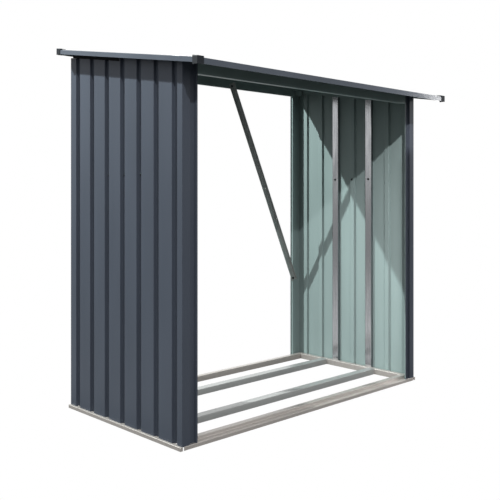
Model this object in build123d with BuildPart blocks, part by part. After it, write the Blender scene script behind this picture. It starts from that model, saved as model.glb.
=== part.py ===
from build123d import *
import os
from math import atan, cos, sin

# A sheet-metal log store, open on both long sides, with a single-pitch roof.
# X runs along the store, the low eave faces -Y, and Z = 0 is the ground.
# The origin is on the ground under the middle of the whole outline. Millimetres.

# Overall sizes
base_length = 1645.0
base_depth = 850.0
eave_height_front = 1548.0
eave_height_rear = 1717.5
overhang_side = 44.5
overhang_front = 159.0
overhang_rear = 38.0

# Sheet thicknesses
sheet = 1.0
frame_sheet = 1.5
cap_wall = 2.0

# Radii of the bends in the folded sheets and of the caps' outer edges
bend_radius = 2.0
cap_radius = 3.0

# Ground rails, pressed with two steps
rail_width = 58.0
rail_height = 30.0
rail_ledge_height = 16.0
rail_ledge_width = 30.0
rail_corner_strip = 19.0
rail_corner_tab = 13.0

# Floor joists, folded as channels that open downward
joist_width = 46.0
joist_first = 232.0
joist_second = 582.0

# Pressed ribs that walls and roof share
rib_pitch = 122.0
rib_mouth = 33.0
rib_crest = 26.0
rib_depth = 12.0
seam_past_rib = 22.0

# Corner panels, whose ribs lie a little forward of the middle of the wall
wall_setback_side = 11.0
wall_setback_end = 1.0
wall_ribs_each_way = 3
ribs_forward = 7.0
rear_panel_gap = 18.0
return_width = 79.0
return_rib_centre = 56.0

# Studs stand over the ribs next to the seam of a wall
stud_width = 42.0

# Members under the roof
plate_height = 40.0
plate_width = 19.0
beam_flange_front = 25.0
beam_height_front = 44.0
beam_height_rear = 64.0

# Diagonal braces in the rear opening
brace_width = 34.0
brace_flange = 14.0
brace_foot_height = 484.0
brace_head_rise = 28.0
brace_head_inset = 605.0
brace_foot_inset = 74.0

# Roof edgings
fascia_height = 24.0
fascia_top_leg = 30.0
barge_height = 21.0
barge_top_leg = 30.0
cap_height = 31.0
cap_lift = 4.0
roof_sheet_count = 4

# Places worked out from the sizes above
half_length = base_length / 2
base_front = -(base_depth + overhang_rear - overhang_front) / 2
base_rear = base_front + base_depth
base_middle = base_front + base_depth / 2
outline_front = base_front - overhang_front
outline_rear = base_rear + overhang_rear
outline_side = half_length + overhang_side
fascia_front = outline_front + cap_wall
fascia_rear = outline_rear - cap_wall
barge_side = outline_side - cap_wall
fascia_end = barge_side - bend_radius
sheet_front = fascia_front + sheet + bend_radius
sheet_rear = fascia_rear - sheet - bend_radius
sheet_side = barge_side - sheet
roof_rise = (eave_height_rear - eave_height_front) / (outline_rear - outline_front)
roof_pitch = atan(roof_rise)
wall_side = half_length - wall_setback_side
wall_front = base_front + wall_setback_end
wall_rear = base_rear - wall_setback_end
riser_side = half_length - rail_ledge_width
rail_inner_side = half_length - rail_width
tab_inset = 0.8 * sheet
rib_middle = base_middle - ribs_forward
seam_y = rib_middle + seam_past_rib
crest_rear = wall_rear - sheet - rib_depth
beam_end = wall_side - return_rib_centre - rib_mouth / 2 - sheet - bend_radius
trim_rise = (sheet * 2 + rib_depth) / cos(roof_pitch)
deck_drop = trim_rise + (cap_wall + cap_lift) / cos(roof_pitch)


def roof_top(y):
    """Height of the top of the roof outline above a point of the store's depth."""
    return eave_height_front + (y - outline_front) * roof_rise


def deck(y):
    """Height of the underside of the flat parts of the roof sheets."""
    return roof_top(y) - deck_drop


deck_plane = Plane(
    origin=(0, outline_rear, deck(outline_rear)),
    x_dir=(1, 0, 0),
    z_dir=(0, -cos(roof_pitch), -sin(roof_pitch)),
)
deck_cut = Plane(origin=(0, 0, deck(0)), x_dir=(1, 0, 0), z_dir=(0, -sin(roof_pitch), cos(roof_pitch)))
rear_panel_cut = deck_cut.offset(-rear_panel_gap)
slope_run = (outline_rear - outline_front) / cos(roof_pitch)

os.makedirs("parts", exist_ok=True)


def save(piece, name):
    """Label a finished piece and write it to its own file."""
    piece.part.label = name
    export_step(piece.part, f"parts/{name}.step")


def ribbed_points(start, end, rib_centres):
    """Points along a sheet with ribs, as pairs of place along the sheet and depth of the rib."""
    step = 1 if end > start else -1
    points = [(start, 0)]
    for centre in sorted(rib_centres, reverse=step < 0):
        points.append((centre - step * rib_mouth / 2, 0))
        points.append((centre - step * rib_crest / 2, rib_depth))
        points.append((centre + step * rib_crest / 2, rib_depth))
        points.append((centre + step * rib_mouth / 2, 0))
    points.append((end, 0))
    return points


# Ground rails
# A pressed section: outer face, ledge for the wall sheet, riser, flat top and inner face.
rail_section = [
    (0, 0),
    (0, rail_ledge_height),
    (rail_ledge_width, rail_ledge_height),
    (rail_ledge_width, rail_height),
    (rail_width, rail_height),
    (rail_width, 0),
]


def long_rail():
    """The front rail, between the side rails' corner strips, notched clear of the wall sheets."""
    with BuildPart() as rail:
        with BuildSketch(Plane.YZ.offset(-(half_length - rail_corner_strip))):
            with BuildLine():
                section = [(base_front + across, up) for across, up in rail_section]
                FilletPolyline(section, radius=bend_radius)
                offset(amount=sheet, side=Side.RIGHT, kind=Kind.INTERSECTION)
            make_face()
        extrude(amount=base_length - 2 * rail_corner_strip)
        with BuildSketch(Plane.XY):
            for end in (-1, 1):
                notch_x = end * (half_length - rail_ledge_width / 2)
                with Locations((notch_x, base_front + (rail_ledge_width + rail_width) / 2)):
                    Rectangle(rail_ledge_width, rail_width - rail_ledge_width)
        extrude(amount=rail_height, mode=Mode.SUBTRACT)
    return rail


def side_rail():
    """The left rail, whose outer strip alone runs into the corners and turns round them in short tabs."""
    with BuildPart() as rail:
        with BuildSketch(Plane.XZ.offset(-base_front)):
            with BuildLine():
                section = [(-half_length + across, up) for across, up in rail_section]
                FilletPolyline(section, radius=bend_radius)
                offset(amount=sheet, side=Side.RIGHT, kind=Kind.INTERSECTION)
            make_face()
        extrude(amount=-base_depth)
        cut_width = rail_width - rail_corner_strip
        for end, inward in ((base_front, 1), (base_rear, -1)):
            with Locations((-rail_inner_side - cut_width / 2, end + inward * rail_width / 2, 0)):
                Box(cut_width, rail_width, 2 * rail_height, mode=Mode.SUBTRACT)
            tab_x = -half_length + (rail_corner_tab + tab_inset) / 2
            tab_height = rail_ledge_height - tab_inset
            with Locations((tab_x, end + inward * sheet / 2, tab_height / 2)):
                Box(rail_corner_tab - tab_inset, sheet, tab_height)
    return rail


base_rail_front = long_rail()
save(base_rail_front, "base_rail_front")

with BuildPart() as base_rail_rear:
    mirror(base_rail_front.part, about=Plane.XZ.offset(-base_middle))
save(base_rail_rear, "base_rail_rear")

base_rail_left = side_rail()
save(base_rail_left, "base_rail_left")

with BuildPart() as base_rail_right:
    mirror(base_rail_left.part, about=Plane.YZ)
save(base_rail_right, "base_rail_right")


# Floor joists
def floor_joist(front_face):
    """A channel that opens downward, between the inner faces of the side rails."""
    joist_front = base_front + front_face
    with BuildPart() as joist:
        with BuildSketch(Plane.YZ.offset(-rail_inner_side)):
            with BuildLine():
                FilletPolyline(
                    (joist_front, 0),
                    (joist_front, rail_height),
                    (joist_front + joist_width, rail_height),
                    (joist_front + joist_width, 0),
                    radius=bend_radius,
                )
                offset(amount=frame_sheet, side=Side.RIGHT, kind=Kind.INTERSECTION)
            make_face()
        extrude(amount=2 * rail_inner_side)
    return joist


save(floor_joist(joist_first), "floor_joist_front")
save(floor_joist(joist_second), "floor_joist_rear")


# Corner panels
def corner_panel(face_y, inward, end_y, rib_ys, top_cut):
    """A ribbed left wall sheet with its return round the corner, cut off along the roof."""
    return_points = ribbed_points(-wall_side + return_width, -wall_side, [-wall_side + return_rib_centre])
    wall_points = ribbed_points(face_y, end_y, rib_ys)
    path = [(along, face_y + inward * depth) for along, depth in return_points]
    path += [(-wall_side + depth, along) for along, depth in wall_points[1:]]
    with BuildPart() as panel:
        with BuildSketch(Plane.XY.offset(rail_ledge_height)):
            with BuildLine():
                FilletPolyline(path, radius=bend_radius)
                offset(amount=sheet, side=Side.RIGHT if inward > 0 else Side.LEFT, kind=Kind.INTERSECTION)
            make_face()
        extrude(amount=eave_height_rear)
        split(bisect_by=top_cut, keep=Keep.BOTTOM)
    return panel


rib_places = [rib_middle + k * rib_pitch for k in range(-wall_ribs_each_way, wall_ribs_each_way + 1)]
ribs_front = [place for place in rib_places if place < seam_y]
ribs_rear = [place for place in rib_places if place > seam_y]

left_panel_front = corner_panel(wall_front, 1, seam_y, ribs_front, deck_cut)
save(left_panel_front, "left_panel_front")
left_panel_rear = corner_panel(wall_rear, -1, seam_y, ribs_rear, rear_panel_cut)
save(left_panel_rear, "left_panel_rear")

with BuildPart() as right_panel_front:
    mirror(left_panel_front.part, about=Plane.YZ)
save(right_panel_front, "right_panel_front")
with BuildPart() as right_panel_rear:
    mirror(left_panel_rear.part, about=Plane.YZ)
save(right_panel_rear, "right_panel_rear")


# Studs
def stud(centre_y):
    """A channel over one rib of the left wall, from the bend of the rail's ledge up to the roof."""
    flange_x = -wall_side + sheet
    web_x = -riser_side
    with BuildPart() as post:
        with BuildSketch(Plane.XY.offset(rail_ledge_height + bend_radius)):
            with BuildLine():
                FilletPolyline(
                    (flange_x, centre_y - stud_width / 2),
                    (web_x, centre_y - stud_width / 2),
                    (web_x, centre_y + stud_width / 2),
                    (flange_x, centre_y + stud_width / 2),
                    radius=bend_radius,
                )
                offset(amount=frame_sheet, side=Side.LEFT, kind=Kind.INTERSECTION)
            make_face()
        extrude(amount=eave_height_rear)
        split(bisect_by=deck_cut, keep=Keep.BOTTOM)
    return post


for name, centre_y in (("front", rib_middle - rib_pitch), ("rear", rib_middle + rib_pitch)):
    left_stud = stud(centre_y)
    save(left_stud, f"left_stud_{name}")
    with BuildPart() as right_stud:
        mirror(left_stud.part, about=Plane.YZ)
    save(right_stud, f"right_stud_{name}")


# Sloped plates along the tops of the walls
with BuildPart() as left_top_plate:
    with BuildSketch(deck_plane):
        with BuildLine():
            FilletPolyline(
                (-riser_side, -plate_height),
                (-riser_side, 0),
                (-riser_side + plate_width, 0),
                radius=bend_radius,
            )
            offset(amount=frame_sheet, side=Side.RIGHT, kind=Kind.INTERSECTION)
        make_face()
    extrude(amount=slope_run)
    split(bisect_by=Plane.XZ.offset(-(wall_front + sheet)), keep=Keep.BOTTOM)
    split(bisect_by=Plane.XZ.offset(-(wall_rear - sheet)), keep=Keep.TOP)
save(left_top_plate, "left_top_plate")

with BuildPart() as right_top_plate:
    mirror(left_top_plate.part, about=Plane.YZ)
save(right_top_plate, "right_top_plate")

# Front beam
# A channel behind the ends of the returns, with its flanges turned in under the roof.
beam_front_y = wall_front + sheet
beam_front_low = deck(beam_front_y) - beam_height_front
with BuildPart() as front_beam:
    with BuildSketch(Plane.YZ.offset(-beam_end)):
        with BuildLine():
            FilletPolyline(
                (beam_front_y + beam_flange_front, beam_front_low),
                (beam_front_y, beam_front_low),
                (beam_front_y, deck(beam_front_y)),
                (beam_front_y + beam_flange_front, deck(beam_front_y + beam_flange_front)),
                radius=bend_radius,
            )
            offset(amount=frame_sheet, side=Side.RIGHT, kind=Kind.INTERSECTION)
        make_face()
    extrude(amount=2 * beam_end)
save(front_beam, "front_beam")

# Rear beam
# Its web lies in the plane of the rib crests, where the braces are fastened.
beam_rear_y = wall_rear - sheet
beam_rear_low = deck(crest_rear) - beam_height_rear
with BuildPart() as rear_beam:
    with BuildSketch(Plane.YZ.offset(-beam_end)):
        with BuildLine():
            FilletPolyline(
                (beam_rear_y, beam_rear_low),
                (crest_rear, beam_rear_low),
                (crest_rear, deck(crest_rear)),
                (beam_rear_y, deck(beam_rear_y)),
                radius=bend_radius,
            )
            offset(amount=frame_sheet, side=Side.RIGHT, kind=Kind.INTERSECTION)
        make_face()
    extrude(amount=2 * beam_end)
    split(bisect_by=Plane.XZ.offset(-beam_rear_y), keep=Keep.TOP)
save(rear_beam, "rear_beam")

# Braces
# An angle from the rear beam down to the return of the rear corner.
head_x = -half_length + brace_head_inset
foot_x = -half_length + brace_foot_inset
brace_run = Vector(head_x - foot_x, 0, beam_rear_low + brace_head_rise - brace_foot_height)
brace_plane = Plane(origin=(foot_x, crest_rear, brace_foot_height), x_dir=(0, -1, 0), z_dir=brace_run)
with BuildPart() as left_brace:
    with BuildSketch(brace_plane):
        with BuildLine():
            FilletPolyline(
                (brace_flange, -brace_width / 2),
                (0, -brace_width / 2),
                (0, brace_width / 2),
                radius=bend_radius,
            )
            offset(amount=frame_sheet, side=Side.RIGHT, kind=Kind.INTERSECTION)
        make_face()
    extrude(amount=brace_run.length)
save(left_brace, "left_brace")

with BuildPart() as right_brace:
    mirror(left_brace.part, about=Plane.YZ)
save(right_brace, "right_brace")

# Roof sheets
# The ribs stand up, and neighbouring sheets meet beside a rib.
roof_cover = rib_pitch * (wall_ribs_each_way + 0.5)
first_seam = -roof_cover * (roof_sheet_count / 2 - 1) + seam_past_rib
seams = [first_seam + k * roof_cover for k in range(roof_sheet_count - 1)]
sheet_edges = [-sheet_side] + seams + [sheet_side]
roof_ribs_each_way = int((sheet_side - rib_mouth) / rib_pitch + 0.5)
roof_rib_places = [(k + 0.5) * rib_pitch for k in range(-roof_ribs_each_way, roof_ribs_each_way)]

for number, (left_edge, right_edge) in enumerate(zip(sheet_edges, sheet_edges[1:]), start=1):
    ribs_here = [place for place in roof_rib_places if left_edge < place < right_edge]
    with BuildPart() as roof_sheet:
        with BuildSketch(deck_plane):
            with BuildLine():
                FilletPolyline(ribbed_points(left_edge, right_edge, ribs_here), radius=bend_radius)
                offset(amount=sheet, side=Side.LEFT, kind=Kind.INTERSECTION)
            make_face()
        extrude(amount=slope_run, both=True)
        split(bisect_by=Plane.XZ.offset(-sheet_front), keep=Keep.BOTTOM)
        split(bisect_by=Plane.XZ.offset(-sheet_rear), keep=Keep.TOP)
    save(roof_sheet, f"roof_sheet_{number}")


# Fascias
# A plumb face with a top leg that lies on the rib tops.
def fascia(face_y, inward):
    """An edging along one eave, over the ends of the roof sheets."""
    leg_y = face_y + inward * fascia_top_leg
    past_leg_y = leg_y + inward * sheet
    with BuildPart() as edging:
        with BuildSketch(Plane.YZ.offset(-fascia_end)):
            with BuildLine():
                FilletPolyline(
                    (face_y, deck(face_y) + trim_rise - fascia_height),
                    (face_y, deck(face_y) + trim_rise),
                    (past_leg_y, deck(past_leg_y) + trim_rise),
                    radius=bend_radius,
                )
                offset(amount=sheet, side=Side.RIGHT if inward > 0 else Side.LEFT, kind=Kind.INTERSECTION)
            make_face()
        extrude(amount=2 * fascia_end)
        split(bisect_by=Plane.XZ.offset(-leg_y), keep=Keep.TOP if inward > 0 else Keep.BOTTOM)
    return edging


save(fascia(fascia_front, 1), "front_fascia")
save(fascia(fascia_rear, -1), "rear_fascia")

# Barge trims
# A folded cover over the side edge of the roof, standing on the flat of the sheet.
with BuildPart() as left_barge_trim:
    with BuildSketch(deck_plane):
        with BuildLine():
            FilletPolyline(
                (-barge_side, rib_depth + 2 * sheet - barge_height),
                (-barge_side, rib_depth + 2 * sheet),
                (-barge_side + barge_top_leg, rib_depth + 2 * sheet),
                (-barge_side + barge_top_leg, sheet),
                radius=bend_radius,
            )
            offset(amount=sheet, side=Side.RIGHT, kind=Kind.INTERSECTION)
        make_face()
    extrude(amount=slope_run, both=True)
    split(bisect_by=Plane.XZ.offset(-(fascia_front + fascia_top_leg)), keep=Keep.BOTTOM)
    split(bisect_by=Plane.XZ.offset(-(fascia_rear - fascia_top_leg)), keep=Keep.TOP)
save(left_barge_trim, "left_barge_trim")

with BuildPart() as right_barge_trim:
    mirror(left_barge_trim.part, about=Plane.YZ)
save(right_barge_trim, "right_barge_trim")

# Corner caps
# A shell of outer face, side face and lid over the place where fascia and barge trim meet.
cap_reach = cap_wall + fascia_top_leg
lid_cut = Plane(
    origin=(0, outline_front, eave_height_front),
    x_dir=(1, 0, 0),
    z_dir=(0, -sin(roof_pitch), cos(roof_pitch)),
)


def corner_cap(face_y, inward):
    """The cap of a left corner, open below and toward the roof."""
    with BuildPart() as cap:
        with BuildSketch(Plane.XY.offset(roof_top(face_y) - cap_height)):
            with Locations((-outline_side + cap_reach / 2, face_y + inward * cap_reach / 2)):
                Rectangle(cap_reach, cap_reach)
        extrude(amount=2 * cap_height)
        split(bisect_by=lid_cut, keep=Keep.BOTTOM)
        outer_corner = edges().filter_by(Axis.Z).sort_by(Axis.X)[:2].sort_by(Axis.Y)[0 if inward > 0 else -1]
        lid_rim = faces().sort_by(Axis.Z)[-1].edges()
        front_rim = lid_rim.sort_by(Axis.Y)[0 if inward > 0 else -1]
        fillet([outer_corner, lid_rim.sort_by(Axis.X)[0], front_rim], radius=cap_radius)
        low_face = faces().sort_by(Axis.Z)[0]
        roof_side_face = faces().sort_by(Axis.X)[-1]
        inner_face = faces().sort_by(Axis.Y)[-1 if inward > 0 else 0]
        offset(amount=-cap_wall, openings=[low_face, roof_side_face, inner_face])
    return cap


for name, face_y, inward in (("front", outline_front, 1), ("rear", outline_rear, -1)):
    left_cap = corner_cap(face_y, inward)
    save(left_cap, f"left_cap_{name}")
    with BuildPart() as right_cap:
        mirror(left_cap.part, about=Plane.YZ)
    save(right_cap, f"right_cap_{name}")
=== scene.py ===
import bpy
import bmesh
import math
from mathutils import Matrix, Vector


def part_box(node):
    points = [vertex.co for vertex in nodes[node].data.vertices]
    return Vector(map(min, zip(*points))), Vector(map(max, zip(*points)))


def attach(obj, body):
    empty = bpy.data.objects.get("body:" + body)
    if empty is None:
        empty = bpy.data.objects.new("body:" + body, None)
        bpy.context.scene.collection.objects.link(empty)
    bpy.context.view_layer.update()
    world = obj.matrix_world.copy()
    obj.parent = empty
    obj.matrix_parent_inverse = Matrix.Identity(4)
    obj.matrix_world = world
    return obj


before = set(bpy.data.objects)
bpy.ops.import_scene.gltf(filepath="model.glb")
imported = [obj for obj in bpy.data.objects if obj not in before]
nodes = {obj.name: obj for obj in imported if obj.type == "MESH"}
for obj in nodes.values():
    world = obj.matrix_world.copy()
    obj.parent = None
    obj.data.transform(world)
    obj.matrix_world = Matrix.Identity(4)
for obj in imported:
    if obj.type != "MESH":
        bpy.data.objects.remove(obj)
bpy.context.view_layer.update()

# The camera
# It stands in front and to the left of the store, level, so that upright edges stay upright, with the frame
# shifted down to take in the ground rails. Its place is measured from their front left corner.
corner = Vector((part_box("base_rail_left")[0].x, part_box("base_rail_front")[0].y, 0.0))
from_corner = Vector((-1.86268, -2.32232, 1.0300))
view_turn = math.radians(-44.049)
photo_lens = bpy.data.cameras.new("photo_camera")
photo_lens.sensor_width = 36.0
photo_lens.lens = 53.85
photo_lens.shift_y = -0.11552
photo_camera = bpy.data.objects.new("photo_camera", photo_lens)
photo_camera.location = corner + from_corner
photo_camera.rotation_euler = (math.radians(90.0), 0.0, view_turn)
bpy.context.scene.collection.objects.link(photo_camera)
bpy.context.scene.camera = photo_camera


# Ground rails and floor joists
# Pressed from galvanised steel strip, hot dipped, with a fine spangle and a dull, streaky bloom.
# They lie on the ground and carry the wall sheets on their outer ledge.
def linear(hex_code):
    """The linear colour, with alpha, of an sRGB hex value."""
    parts = [int(hex_code[k:k + 2], 16) / 255 for k in (0, 2, 4)]
    return [p / 12.92 if p <= 0.04045 else ((p + 0.055) / 1.055) ** 2.4 for p in parts] + [1.0]


def add_node(tree, kind, settings, links):
    """A node with its properties, socket values and incoming links."""
    node = tree.nodes.new(kind)
    for key, value in settings.items():
        if isinstance(key, str) and hasattr(node, key):
            setattr(node, key, value)
        else:
            node.inputs[key].default_value = value
    for socket, source in links.items():
        tree.links.new(source, node.inputs[socket])
    return node


def new_material(name):
    """An empty node material with its output node."""
    material = bpy.data.materials.new(name)
    material.use_nodes = True
    tree = material.node_tree
    tree.nodes.clear()
    return material, tree, tree.nodes.new("ShaderNodeOutputMaterial")


def galvanised(name, bright, dull, satin, bare, grain_scale):
    """Hot dipped zinc, rolled to a satin: faint 6 mm spangles and streaks along the rolled length.

    bare is the share of bright metal, and the rest of it is the dull oxide that scatters light.
    """
    streak_width = 0.012
    spangle_size = 0.006
    material, tree, output = new_material(name)
    place = add_node(tree, "ShaderNodeTexCoord", {}, {}).outputs["Object"]
    stretched = add_node(tree, "ShaderNodeMapping", {"Scale": grain_scale}, {"Vector": place})
    streaks = add_node(tree, "ShaderNodeTexNoise", {"Scale": 1 / streak_width, "Detail": 3.0},
                       {"Vector": stretched.outputs[0]})
    spangle = add_node(tree, "ShaderNodeTexVoronoi", {"Scale": 1 / spangle_size}, {"Vector": place})
    grain = add_node(tree, "ShaderNodeSeparateColor", {}, {"Color": spangle.outputs["Color"]})
    wear = add_node(tree, "ShaderNodeMapRange", {"From Min": 0.3, "From Max": 0.7},
                    {"Value": streaks.outputs[0]})
    blend = add_node(tree, "ShaderNodeMath", {"operation": "MULTIPLY_ADD", 1: 0.2},
                     {0: grain.outputs[0], 2: wear.outputs[0]})
    colour = add_node(tree, "ShaderNodeMix", {"data_type": "RGBA", 6: linear(bright), 7: linear(dull)},
                      {0: blend.outputs[0]})
    rough = add_node(tree, "ShaderNodeMapRange", {"To Min": satin - 0.04, "To Max": satin + 0.05},
                     {"Value": blend.outputs[0]})
    facets = add_node(tree, "ShaderNodeBump", {"Strength": 0.03, "Distance": 0.0003},
                      {"Height": grain.outputs[0]})
    shader = add_node(tree, "ShaderNodeBsdfPrincipled", {"Metallic": bare},
                      {"Base Color": colour.outputs[2], "Roughness": rough.outputs[0],
                       "Normal": facets.outputs[0]})
    tree.links.new(shader.outputs[0], output.inputs["Surface"])
    return material


def finish_node(name, material):
    """Give a CAD node its finish."""
    nodes[name].material_slots[0].material = material


# Rail zinc looks light and a little warm, with a soft sheen on the steps and no sharp reflection.
rail_zinc = galvanised("galvanised_rail_steel", "b6b1ad", "aca7a2", satin=0.34, bare=0.58,
                       grain_scale=(0.08, 1.0, 1.0))
for place in ("front", "rear", "left", "right"):
    finish_node(f"base_rail_{place}", rail_zinc)
# Joist zinc looks the same, a little cooler and darker.
joist_zinc = galvanised("galvanised_joist_steel", "aaacab", "a2a4a3", satin=0.34, bare=0.55,
                        grain_scale=(0.08, 1.0, 1.0))
for place in ("front", "rear"):
    finish_node(f"floor_joist_{place}", joist_zinc)


# Corner panels
# Cold rolled sheet with pressed ribs, coated anthracite outside and with a thin sage backing coat inside.
# Each turns the corner in a narrow return, and two lap at the middle of a wall.
def coated(name, outside, inside, outward, gloss_roughness):
    """Coil-coated sheet: a satin coat with a fine orange peel, in one colour outside and another inside.

    outward(tree, place, normal) gives a value above 0 where a face looks out of the store, or is None
    for a piece whose faces all have the inside colour.
    """
    cloud_size = 0.16
    orange_peel_size = 0.0016
    edge_on = 0.05
    material, tree, output = new_material(name)
    place = add_node(tree, "ShaderNodeTexCoord", {}, {}).outputs["Object"]
    surface = add_node(tree, "ShaderNodeNewGeometry", {}, {})
    stretch = add_node(tree, "ShaderNodeMapping", {"Scale": (1.0, 1.0, 0.25)}, {"Vector": place})
    cloud = add_node(tree, "ShaderNodeTexNoise", {"Scale": 1 / cloud_size, "Detail": 2.0},
                     {"Vector": stretch.outputs[0]})
    shade = add_node(tree, "ShaderNodeMapRange",
                     {"From Min": 0.3, "From Max": 0.7, "To Min": 0.94, "To Max": 1.06},
                     {"Value": cloud.outputs[0]})
    colour = add_node(tree, "ShaderNodeVectorMath", {"operation": "SCALE", 0: linear(inside)[:3]},
                      {"Scale": shade.outputs[0]})
    if outward:
        looks_out = add_node(tree, "ShaderNodeMath", {"operation": "GREATER_THAN", 1: edge_on},
                             {0: outward(tree, place, surface.outputs["Normal"])})
        coat = add_node(tree, "ShaderNodeMix", {"data_type": "RGBA", 6: linear(inside), 7: linear(outside)},
                        {0: looks_out.outputs[0]})
        tree.links.new(coat.outputs[2], colour.inputs[0])
    peel = add_node(tree, "ShaderNodeTexNoise", {"Scale": 1 / orange_peel_size, "Detail": 1.0},
                    {"Vector": place})
    skin = add_node(tree, "ShaderNodeBump", {"Strength": 0.05, "Distance": 0.0002},
                    {"Height": peel.outputs[0]})
    shader = add_node(tree, "ShaderNodeBsdfPrincipled",
                      {"Roughness": gloss_roughness, "IOR": 1.5, "Specular IOR Level": 0.12},
                      {"Base Color": colour.outputs[0], "Normal": skin.outputs[0]})
    tree.links.new(shader.outputs[0], output.inputs["Surface"])
    return material


wall_sheet = 0.001
rib_height = 0.012
rib_zone = rib_height + wall_sheet + 0.0005
out_of_reach = 100.0
panel_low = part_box("left_panel_front")[0]
rear_low, rear_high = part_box("left_panel_rear")
wall_depth_middle = (panel_low.y + rear_high.y) / 2
wall_half_depth = (rear_high.y - panel_low.y) / 2


def out_of_panel(tree, place, normal):
    """Above 0 where a panel's face looks out: along X on the wall itself, along Y on its returns."""
    centred = add_node(tree, "ShaderNodeVectorMath",
                       {"operation": "SUBTRACT", 1: (0.0, wall_depth_middle, 0.0)}, {0: place})
    away = add_node(tree, "ShaderNodeVectorMath", {"operation": "SIGN"}, {0: centred.outputs[0]})
    facing_out = add_node(tree, "ShaderNodeVectorMath", {"operation": "MULTIPLY"},
                          {0: away.outputs[0], 1: normal})
    reach = add_node(tree, "ShaderNodeVectorMath", {"operation": "ABSOLUTE"}, {0: centred.outputs[0]})
    past_ribs = add_node(tree, "ShaderNodeVectorMath",
                         {"operation": "SUBTRACT",
                          1: (-panel_low.x - rib_zone, wall_half_depth - rib_zone, out_of_reach)},
                         {0: reach.outputs[0]})
    in_strip = add_node(tree, "ShaderNodeVectorMath", {"operation": "SIGN"}, {0: past_ribs.outputs[0]})
    in_strip = add_node(tree, "ShaderNodeVectorMath", {"operation": "MAXIMUM", 1: (0.0, 0.0, 0.0)},
                        {0: in_strip.outputs[0]})
    outs = add_node(tree, "ShaderNodeVectorMath", {"operation": "MULTIPLY"},
                    {0: in_strip.outputs[0], 1: facing_out.outputs[0]})
    parts = add_node(tree, "ShaderNodeSeparateXYZ", {}, {0: outs.outputs[0]})
    return add_node(tree, "ShaderNodeMath", {"operation": "MAXIMUM"},
                    {0: parts.outputs["X"], 1: parts.outputs["Y"]}).outputs[0]


# The panel coat looks bluish dark grey and satin in the light, and a dull greenish grey inside the store.
anthracite, sage = "3e444e", "788786"
panel_coat = coated("coil_coated_panel_steel", anthracite, sage, out_of_panel, gloss_roughness=0.42)
for side in ("left", "right"):
    for end in ("front", "rear"):
        finish_node(f"{side}_panel_{end}", panel_coat)


# Studs
# Channels rolled from galvanised strip, one standing behind the rib on each side of the wall's middle rib
# and bolted through it. Their zinc looks bright, and mirrors the white studio in long streaks.
stud_zinc = galvanised("galvanised_stud_steel", "adaeb0", "9a9c9f", satin=0.18, bare=1.0,
                       grain_scale=(1.0, 1.0, 0.08))
for side in ("left", "right"):
    for end in ("front", "rear"):
        finish_node(f"{side}_stud_{end}", stud_zinc)


# Wall bolts
# M5 black-passivated steel bolts through the three middle ribs of each wall, two of them through a stud.
# The mushroom head bears on a black plastic washer outside, and a hexagon nut inside pulls it up.
bolt_height = 1.105
bolt_radius = 0.0025
head_radius, head_height = 0.0052, 0.0030
washer_radius, washer_thickness = 0.0065, 0.0012
nut_across_flats, nut_height = 0.008, 0.004
thread_past_nut = 0.003
groove_bottom = -panel_low.x - rib_height


def disc(form, radius, base, height, rim=0.0, sides=32, finish=0):
    """A round or, with six sides, a hexagonal disc upright on z = base, with its upper rim rounded."""
    made = bmesh.ops.create_cone(form, cap_ends=True, segments=sides, radius1=radius, radius2=radius,
                                 depth=height)["verts"]
    bmesh.ops.translate(form, verts=made, vec=(0.0, 0.0, base + height / 2))
    faces = {face for vert in made for face in vert.link_faces}
    if rim:
        edges = {edge for vert in made for edge in vert.link_edges}
        upper = [edge for edge in edges if min(vert.co.z for vert in edge.verts) > base + height / 2]
        rounded = bmesh.ops.bevel(form, geom=upper, affect="EDGES", offset=rim, segments=3, profile=0.5,
                                  material=-1)
        faces = {face for face in faces if face.is_valid} | set(rounded["faces"])
    for face in faces:
        face.material_index = finish
        face.smooth = sides > 6 and abs(face.normal.z) < 0.99


def set_down(shape, seats):
    """One form with the same shape set down on every seat, each a place and the way that it points."""
    row = bmesh.new()
    for place, outward in seats:
        one = bmesh.new()
        shape(one)
        turn = Vector(outward).to_track_quat("Z", "Y").to_matrix().to_4x4()
        bmesh.ops.transform(one, matrix=Matrix.Translation(place) @ turn, verts=one.verts)
        copied = bpy.data.meshes.new("copied")
        one.to_mesh(copied)
        one.free()
        row.from_mesh(copied)
        bpy.data.meshes.remove(copied)
    return row


def add_piece(name, form, materials):
    """A new piece of the store from a finished form."""
    bmesh.ops.recalc_face_normals(form, faces=form.faces)
    mesh = bpy.data.meshes.new(name)
    form.to_mesh(mesh)
    form.free()
    for material in materials:
        mesh.materials.append(material)
    piece = bpy.data.objects.new(name, mesh)
    bpy.context.scene.collection.objects.link(piece)
    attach(piece, "root")


def moulded(name, colour_hex, sheen):
    """Moulded plastic, rubber or foam: one colour, broken only by a fine grain of pits.

    Such pits usually lie about 0.1 mm apart, and are drawn 1 mm apart so that they show.
    """
    pit_spacing = 0.001
    material, tree, output = new_material(name)
    place = add_node(tree, "ShaderNodeTexCoord", {}, {}).outputs["Object"]
    grain = add_node(tree, "ShaderNodeTexNoise", {"Scale": 1 / pit_spacing, "Detail": 2.0}, {"Vector": place})
    tone = add_node(tree, "ShaderNodeMapRange", {"To Min": 0.92, "To Max": 1.08},
                    {"Value": grain.outputs[0]})
    colour = add_node(tree, "ShaderNodeVectorMath", {"operation": "SCALE", 0: linear(colour_hex)[:3]},
                      {"Scale": tone.outputs[0]})
    pits = add_node(tree, "ShaderNodeBump", {"Strength": 0.15, "Distance": 0.0002},
                    {"Height": grain.outputs[0]})
    shader = add_node(tree, "ShaderNodeBsdfPrincipled",
                      {"Roughness": 0.5, "IOR": 1.49, "Specular IOR Level": sheen},
                      {"Base Color": colour.outputs[0], "Normal": pits.outputs[0]})
    tree.links.new(shader.outputs[0], output.inputs["Surface"])
    return material


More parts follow.
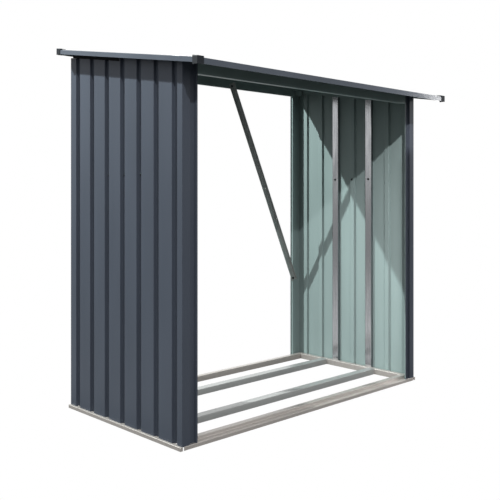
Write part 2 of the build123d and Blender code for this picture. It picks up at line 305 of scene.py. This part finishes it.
def plated(name, colour_hex, satin):
    """Thin plating: smooth metal whose tone and gloss wander a little from place to place."""
    bloom_size = 0.003
    material, tree, output = new_material(name)
    place = add_node(tree, "ShaderNodeTexCoord", {}, {}).outputs["Object"]
    bloom = add_node(tree, "ShaderNodeTexNoise", {"Scale": 1 / bloom_size, "Detail": 2.0}, {"Vector": place})
    rough = add_node(tree, "ShaderNodeMapRange", {"To Min": satin - 0.06, "To Max": satin + 0.1},
                     {"Value": bloom.outputs[0]})
    tone = add_node(tree, "ShaderNodeMapRange", {"To Min": 0.85, "To Max": 1.1},
                    {"Value": bloom.outputs[0]})
    colour = add_node(tree, "ShaderNodeVectorMath", {"operation": "SCALE", 0: linear(colour_hex)[:3]},
                      {"Scale": tone.outputs[0]})
    shader = add_node(tree, "ShaderNodeBsdfPrincipled", {"Metallic": 1.0},
                      {"Base Color": colour.outputs[0], "Roughness": rough.outputs[0]})
    tree.links.new(shader.outputs[0], output.inputs["Surface"])
    return material


def bolt_head(form):
    """A washer with a low mushroom head on it."""
    disc(form, washer_radius, 0.0, washer_thickness, rim=0.0005, finish=1)
    disc(form, head_radius, washer_thickness, head_height, rim=0.0025)


def bolt_nut(form):
    """A plain washer, a hexagon nut and the bolt's end standing out of it."""
    disc(form, washer_radius, 0.0, washer_thickness, rim=0.0004)
    disc(form, nut_across_flats / math.sqrt(3.0), washer_thickness, nut_height, rim=0.0006, sides=6)
    disc(form, bolt_radius, washer_thickness, nut_height + thread_past_nut, rim=0.0006)


# The bolts look near-black, with a glint on the round of each head, and the washers are a duller black.
bolt_black = plated("black_passivated_steel", "222629", satin=0.30)
washer_plastic = moulded("black_washer_plastic", "16181a", sheen=0.2)
stud_low, stud_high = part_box("left_stud_front")
rear_stud_low, rear_stud_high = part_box("left_stud_rear")
front_rib = (stud_low.y + stud_high.y) / 2
rear_rib = (rear_stud_low.y + rear_stud_high.y) / 2
for side, sign in (("left", -1.0), ("right", 1.0)):
    heads = [((sign * groove_bottom, y, bolt_height), (sign, 0.0, 0.0))
             for y in (front_rib, (front_rib + rear_rib) / 2, rear_rib)]
    add_piece(f"{side}_wall_bolt_heads", set_down(bolt_head, heads), (bolt_black, washer_plastic))
    nuts = [((-sign * stud_high.x, y, bolt_height), (-sign, 0.0, 0.0)) for y in (front_rib, rear_rib)]
    nuts.append(((sign * (groove_bottom - wall_sheet), (front_rib + rear_rib) / 2, bolt_height),
                 (-sign, 0.0, 0.0)))
    add_piece(f"{side}_wall_bolt_nuts", set_down(bolt_nut, nuts), (bolt_black,))


# Top plates and beams
# Folded from the same coated sheet. The plates lie behind the wall sheets with the anthracite coat outward,
# and the beams show the sage coat on every face.
def out_of_plate(tree, place, normal):
    """Above 0 where a plate's face looks out along X."""
    outs = add_node(tree, "ShaderNodeVectorMath", {"operation": "MULTIPLY"}, {0: place, 1: normal})
    return add_node(tree, "ShaderNodeSeparateXYZ", {}, {0: outs.outputs[0]}).outputs["X"]


# From inside the store both have the wall sheets' dull greenish grey, the beams with a clearer gleam along
# their folds.
plate_coat = coated("coil_coated_plate_steel", anthracite, sage, out_of_plate, gloss_roughness=0.42)
for side in ("left", "right"):
    finish_node(f"{side}_top_plate", plate_coat)
beam_coat = coated("coil_coated_beam_steel", anthracite, sage, None, gloss_roughness=0.35)
for place in ("front", "rear"):
    finish_node(f"{place}_beam", beam_coat)


# Sealing tapes, painted as shade
# A near-black foam strip between the top of each rear wall sheet, which stops short of the roof, and the
# roof's underside. Its colour is painted shade under the roof. It ends before the corner.
tape_thickness = 0.0008
tape_clearance = 0.0003
tape_end_inset = 0.020
front_beam_low, front_beam_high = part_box("front_beam")
rear_beam_low, rear_beam_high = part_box("rear_beam")
roof_rise = (rear_beam_high.z - front_beam_high.z) / (rear_beam_high.y - front_beam_high.y)
# Painted shade: the strip is soot black with no highlight, so that it reads as a shadow under the roof.
tape_painted_shade = moulded("foam_tape_painted_shade", "0e1114", sheen=0.02)


def deck(y):
    """Height of the roof's underside at a depth."""
    return rear_beam_high.z + (y - rear_beam_high.y) * roof_rise


def drawn_out(corners, travel):
    """A form with the same flat section all along a straight line."""
    form = bmesh.new()
    base = form.faces.new([form.verts.new(place) for place in corners])
    far_end = bmesh.ops.extrude_face_region(form, geom=[base])["geom"]
    bmesh.ops.translate(form, verts=[part for part in far_end if isinstance(part, bmesh.types.BMVert)],
                        vec=travel)
    return form


panel_gap = deck(rear_high.y) - rear_high.z
for side, sign in (("left", -1.0), ("right", 1.0)):
    start, end = rear_low.y + tape_clearance, rear_high.y - tape_end_inset
    outline = [(start, deck(start) - panel_gap + tape_clearance),
               (end, deck(end) - panel_gap + tape_clearance),
               (end, deck(end) - tape_clearance), (start, deck(start) - tape_clearance)]
    form = drawn_out([(-sign * rear_low.x, y, z) for y, z in outline], (-sign * tape_thickness, 0.0, 0.0))
    bmesh.ops.bevel(form, geom=form.edges, affect="EDGES", offset=tape_thickness / 4, segments=2,
                    profile=0.5, material=-1)
    add_piece(f"{side}_sealing_strip_painted_shade", form, (tape_painted_shade,))


# Corner brackets
# Folded angles of the same sage-coated sheet behind the rear corners, one leg over the end of the rear beam
# and the other along the wall's top plate. They close the gap over the corner's return.
bracket_sheet = 0.0015
bracket_lap = 0.014
bracket_leg = 0.045
bracket_bend = 0.002
bracket_clearance = 0.0003
bracket_rise = 0.005
bracket_height = 0.054
same_spot = 1e-5
bracket_low = rear_beam_low.z + bracket_rise
plate_inner_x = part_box("right_top_plate")[0].x
for side, sign in (("left", -1.0), ("right", 1.0)):
    outer_x, outer_y = plate_inner_x - bracket_clearance, rear_beam_low.y - bracket_clearance
    inner_x, inner_y = outer_x - bracket_sheet, outer_y - bracket_sheet
    lap_x, leg_y = rear_beam_high.x - bracket_lap, outer_y - bracket_leg
    outline = [(lap_x, inner_y), (lap_x, outer_y), (outer_x, outer_y),
               (outer_x, leg_y), (inner_x, leg_y), (inner_x, inner_y)]
    form = drawn_out([(sign * x, y, bracket_low) for x, y in outline], (0.0, 0.0, bracket_height))
    for fold_x, fold_y, radius in ((outer_x, outer_y, bracket_bend), (inner_x, inner_y, bracket_bend / 4)):
        fold = [edge for edge in form.edges
                if all(math.hypot(sign * vert.co.x - fold_x, vert.co.y - fold_y) < same_spot
                       for vert in edge.verts)]
        bmesh.ops.bevel(form, geom=fold, affect="EDGES", offset=radius, segments=5, profile=0.5,
                        material=-1)
    add_piece(f"{side}_corner_bracket", form, (beam_coat,))


# Rear braces
# Folded from galvanised strip to an angle, across the upper corners of the rear opening, with one bolt at
# each end. Their zinc looks grey and blurred, the dullest on the store.
brace_zinc = galvanised("galvanised_brace_steel", "9a9e9c", "8c908e", satin=0.40, bare=0.5,
                        grain_scale=(1.0, 1.0, 0.2))
for side in ("left", "right"):
    finish_node(f"{side}_brace", brace_zinc)


# Brace bolts
# The same bolts, one at each end of a brace: through the rib of the corner's return at the foot and through
# the web of the rear beam at the head, with the nut on the inside.
brace_low, brace_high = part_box("left_brace")
brace_sheet = 0.0015
beam_sheet = 0.0015
brace_half_width = 0.017
brace_end_rise = 0.006
bolt_inset = 0.016
brace_run = Vector((brace_high.x - brace_low.x - 2 * brace_half_width, 0.0, brace_high.z - brace_low.z))
brace_run.normalize()
brace_foot = Vector((brace_low.x + brace_half_width, 0.0, brace_low.z + brace_end_rise))
brace_head = Vector((brace_high.x - brace_half_width, 0.0, brace_high.z - brace_end_rise))
foot, head = brace_foot + brace_run * bolt_inset, brace_head - brace_run * bolt_inset
for side, sign in (("left", 1.0), ("right", -1.0)):
    inside = [((sign * end.x, brace_high.y - brace_sheet, end.z), (0.0, -1.0, 0.0)) for end in (foot, head)]
    add_piece(f"{side}_brace_bolt_nuts", set_down(bolt_nut, inside), (bolt_black,))
    behind = [((sign * foot.x, brace_high.y + wall_sheet, foot.z), (0.0, 1.0, 0.0)),
              ((sign * head.x, brace_high.y + beam_sheet, head.z), (0.0, 1.0, 0.0))]
    add_piece(f"{side}_brace_bolt_heads", set_down(bolt_head, behind), (bolt_black, washer_plastic))


# Roof sheets
# The same ribbed sheet as the walls, four side by side from beam to beam. The coat is the walls' too,
# anthracite above and sage below.
def out_of_roof(tree, place, normal):
    """Above 0 where a face looks up."""
    return add_node(tree, "ShaderNodeSeparateXYZ", {}, {0: normal}).outputs["Z"]


roof_coat = coated("coil_coated_roof_steel", anthracite, sage, out_of_roof, gloss_roughness=0.42)
for number in range(1, 5):
    finish_node(f"roof_sheet_{number}", roof_coat)


# Roof screws
# Self-drilling screws with a black hexagon head, through every second rib into the beams, each with a
# rubber washer that squeezes out into a thin ring under the head.
screw_head_across_flats, screw_head_height = 0.008, 0.004
flange_radius, flange_height = 0.0055, 0.001
rubber_radius, rubber_thickness = 0.007, 0.0018
rib_pitch = (rear_rib - front_rib) / 2
# Every second rib, counted in rib pitches from the middle of the roof.
screwed_ribs = (-5.5, -3.5, -1.5, 0.5, 2.5, 4.5, 6.5)
front_screw_row = (front_beam_low.y + front_beam_high.y) / 2
rear_screw_row = (rear_beam_low.y + rear_beam_high.y) / 2
roof_up = Vector((0.0, -roof_rise, 1.0)).normalized()


def roof_screw(form):
    """A rubber washer, the head's round flange and its hexagon."""
    disc(form, rubber_radius, 0.0, rubber_thickness, rim=0.0006, finish=1)
    disc(form, flange_radius, rubber_thickness, flange_height, rim=0.0004)
    disc(form, screw_head_across_flats / math.sqrt(3.0), rubber_thickness + flange_height,
         screw_head_height, rim=0.0008, sides=6)


def rib_top(y):
    """Height of the roof ribs' tops at a depth."""
    return deck(y) + (rib_height + wall_sheet) / roof_up.z


# The rubber looks like a matt dark ring under each head.
screw_rubber = moulded("epdm_washer_rubber", "1a1b1c", sheen=0.1)
for place, y in (("front", front_screw_row), ("rear", rear_screw_row)):
    seats = [((k * rib_pitch, y, rib_top(y)), roof_up) for k in screwed_ribs]
    add_piece(f"{place}_roof_screws", set_down(roof_screw, seats), (bolt_black, screw_rubber))


# Roof edgings
# Folded from smooth coated sheet and fixed over the ribbed sheets' ends: the fascias hang in front and
# behind, and the barge trims run down both sides.
def out_of_edging(x, y):
    """A test for an edging on that side of the roof: above 0 where a face looks out or up."""
    def outward(tree, place, normal):
        return add_node(tree, "ShaderNodeVectorMath", {"operation": "DOT_PRODUCT", 1: (x, y, 1.0)},
                        {0: normal}).outputs["Value"]
    return outward


# The edgings' coat looks like smooth, glossy anthracite, in which a lamp runs along the fold as a streak.
edging_anthracite = "4a5059"
for name, x, y in (("front_fascia", 0, -1), ("rear_fascia", 0, 1), ("left_barge_trim", -1, 0),
                   ("right_barge_trim", 1, 0)):
    finish_node(name, coated(f"coil_coated_{name}", edging_anthracite, sage, out_of_edging(x, y),
                             gloss_roughness=0.12))


# Corner caps
# Injection moulded polypropylene with a fine spark-eroded grain, pushed over the corners of the edgings.
# The plastic looks blue-black, with a soft highlight round each corner.
cap_plastic = moulded("moulded_polypropylene", "171b20", sheen=0.14)
for side in ("left", "right"):
    for end in ("front", "rear"):
        finish_node(f"{side}_cap_{end}", cap_plastic)


# The floor and the studio
# A plain white floor and walls. They look white and show white in the sheets' gloss, save for painted shade
# right next to each piece, but throw little light back up, so that the underside of the roof stays dark.
def studio_white(tree, shown, mirrored, scattered):
    """Brightness for rays that look at it, rays off a glossy surface and rays off a matt one."""
    ray = add_node(tree, "ShaderNodeLightPath", {}, {})
    off_matt = add_node(tree, "ShaderNodeMix", {"data_type": "FLOAT", 2: shown, 3: scattered},
                        {0: ray.outputs["Is Diffuse Ray"]})
    return add_node(tree, "ShaderNodeMix", {"data_type": "FLOAT"},
                    {0: ray.outputs["Is Glossy Ray"], 2: off_matt.outputs[0], 3: mirrored}).outputs[0]


def mirrored_floor(tree):
    """Painted shade right next to the mirroring piece, light around, dimmer towards the studio's far end."""
    gap = add_node(tree, "ShaderNodeLightPath", {}, {}).outputs["Ray Length"]
    place = add_node(tree, "ShaderNodeTexCoord", {}, {}).outputs["Object"]
    away = add_node(tree, "ShaderNodeVectorMath", {"operation": "LENGTH"}, {0: place})
    # Painted shade: the floor is dim where a piece mirrors it within a few centimetres, for the piece's own
    # shadow there.
    painted_contact_shade = add_node(tree, "ShaderNodeMapRange",
                      {"From Min": 0.05, "From Max": 0.40, "To Min": 0.30, "To Max": 1.0}, {"Value": gap})
    far_off = add_node(tree, "ShaderNodeMapRange",
                       {"From Min": 1.0, "From Max": 6.0, "To Min": 1.0, "To Max": 0.40},
                       {"Value": away.outputs["Value"]})
    return add_node(tree, "ShaderNodeMath", {"operation": "MULTIPLY"},
                    {0: painted_contact_shade.outputs[0], 1: far_off.outputs[0]}).outputs[0]


def mirrored_sky(tree):
    """Dim at the horizon, lightest just above it and a little dimmer overhead."""
    place = add_node(tree, "ShaderNodeTexCoord", {}, {}).outputs["Object"]
    height = add_node(tree, "ShaderNodeSeparateXYZ", {}, {0: place}).outputs["Z"]
    horizon = add_node(tree, "ShaderNodeMapRange",
                       {"From Min": 0.0, "From Max": 0.03, "To Min": 0.40, "To Max": 1.25},
                       {"Value": height})
    overhead = add_node(tree, "ShaderNodeMapRange",
                        {"From Min": 0.1, "From Max": 0.3, "To Min": 1.0, "To Max": 0.80},
                        {"Value": height})
    return add_node(tree, "ShaderNodeMath", {"operation": "MULTIPLY"},
                    {0: horizon.outputs[0], 1: overhead.outputs[0]}).outputs[0]


floor_reach = 40.0
floor_drop = 0.0005
floor_on_matt, sky_on_matt = 0.12, 0.96
floor_mesh = bpy.data.meshes.new("studio_floor")
floor_form = bmesh.new()
bmesh.ops.create_grid(floor_form, x_segments=1, y_segments=1, size=floor_reach)
bmesh.ops.translate(floor_form, verts=floor_form.verts, vec=(0.0, 0.0, -floor_drop))
floor_form.to_mesh(floor_mesh)
floor_form.free()
floor = bpy.data.objects.new("studio_floor", floor_mesh)
bpy.context.scene.collection.objects.link(floor)
# The floor looks pure white, with no shading of its own.
floor_paint, tree, output = new_material("white_studio_floor")
glow = add_node(tree, "ShaderNodeEmission", {"Color": (1.0, 1.0, 1.0, 1.0)},
                {"Strength": studio_white(tree, 1.0, mirrored_floor(tree), floor_on_matt)})
tree.links.new(glow.outputs[0], output.inputs["Surface"])
floor_mesh.materials.append(floor_paint)

studio = bpy.data.worlds.new("studio")
studio.use_nodes = True
tree = studio.node_tree
tree.nodes.clear()
sky = add_node(tree, "ShaderNodeBackground", {"Color": (1.0, 1.0, 1.0, 1.0)},
               {"Strength": studio_white(tree, 1.0, mirrored_sky(tree), sky_on_matt)})
add_node(tree, "ShaderNodeOutputWorld", {}, {"Surface": sky.outputs[0]})
bpy.context.scene.world = studio


def lamp(name, kind, settings, place, travel):
    """A lamp at a place, whose light travels along the given direction."""
    data = bpy.data.lights.new(name, kind)
    for key, value in settings.items():
        setattr(data, key, value)
    thing = bpy.data.objects.new(name, data)
    thing.location = place
    thing.rotation_mode = "QUATERNION"
    thing.rotation_quaternion = Vector(travel).to_track_quat("-Z", "Y")
    bpy.context.scene.collection.objects.link(thing)
    return thing


# Small lamps with hard shadows: one high behind on the left, and two at one place in front on the left, of
# which the spot lights the store's right end.
lamp_radius = 0.03
rear_lamp_place = Vector((-2.165, 2.136, 4.038))
front_lamp_place = corner + Vector((-1.7595, -3.0705, 3.636))
lamp("rear_lamp", "POINT", {"energy": 1520.0, "color": (0.94, 1.0, 0.98), "shadow_soft_size": lamp_radius},
     rear_lamp_place, (1.0, -1.0, -1.5))
lamp("front_lamp", "POINT", {"energy": 400.0, "shadow_soft_size": lamp_radius}, front_lamp_place,
     (0.507, 1.0, -0.727))
lamp("front_spot", "SPOT",
     {"energy": 1600.0, "color": (1.0, 0.96, 0.95), "shadow_soft_size": lamp_radius,
      "spot_size": math.radians(25.0), "spot_blend": 1.0},
     front_lamp_place, (3.43, 2.45, -2.74))

# A flag half way between the front lamps and the right front return keeps their light off the return's
# lower part. It only casts a shadow.
return_width = 0.079
flag_top = 1.26
return_low, return_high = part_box("right_panel_front")
inner_x, outer_x = return_high.x - return_width, return_high.x
flag_form = bmesh.new()
flag_form.faces.new([flag_form.verts.new((Vector((x, return_low.y, z)) + front_lamp_place) / 2)
                     for x, z in ((inner_x, 0.0), (outer_x, 0.0), (outer_x, flag_top), (inner_x, flag_top))])
flag_mesh = bpy.data.meshes.new("studio_flag")
flag_form.to_mesh(flag_mesh)
flag_form.free()
flag_mesh.materials.append(floor_paint)
flag = bpy.data.objects.new("studio_flag", flag_mesh)
flag.visible_camera = flag.visible_glossy = flag.visible_diffuse = False
bpy.context.scene.collection.objects.link(flag)

# A tall softbox on the right, which shows only in the gloss of the edgings and folds.
softbox_place = Vector((5.89, -3.65, 2.25))
softbox_target = Vector((0.82, -0.52, 1.53))
softbox = lamp("edging_softbox", "AREA", {"energy": 32.0, "shape": "RECTANGLE", "size": 0.25, "size_y": 1.5},
               softbox_place, softbox_target - softbox_place)
softbox.visible_diffuse = False
bpy.context.scene.view_settings.view_transform = "Standard"
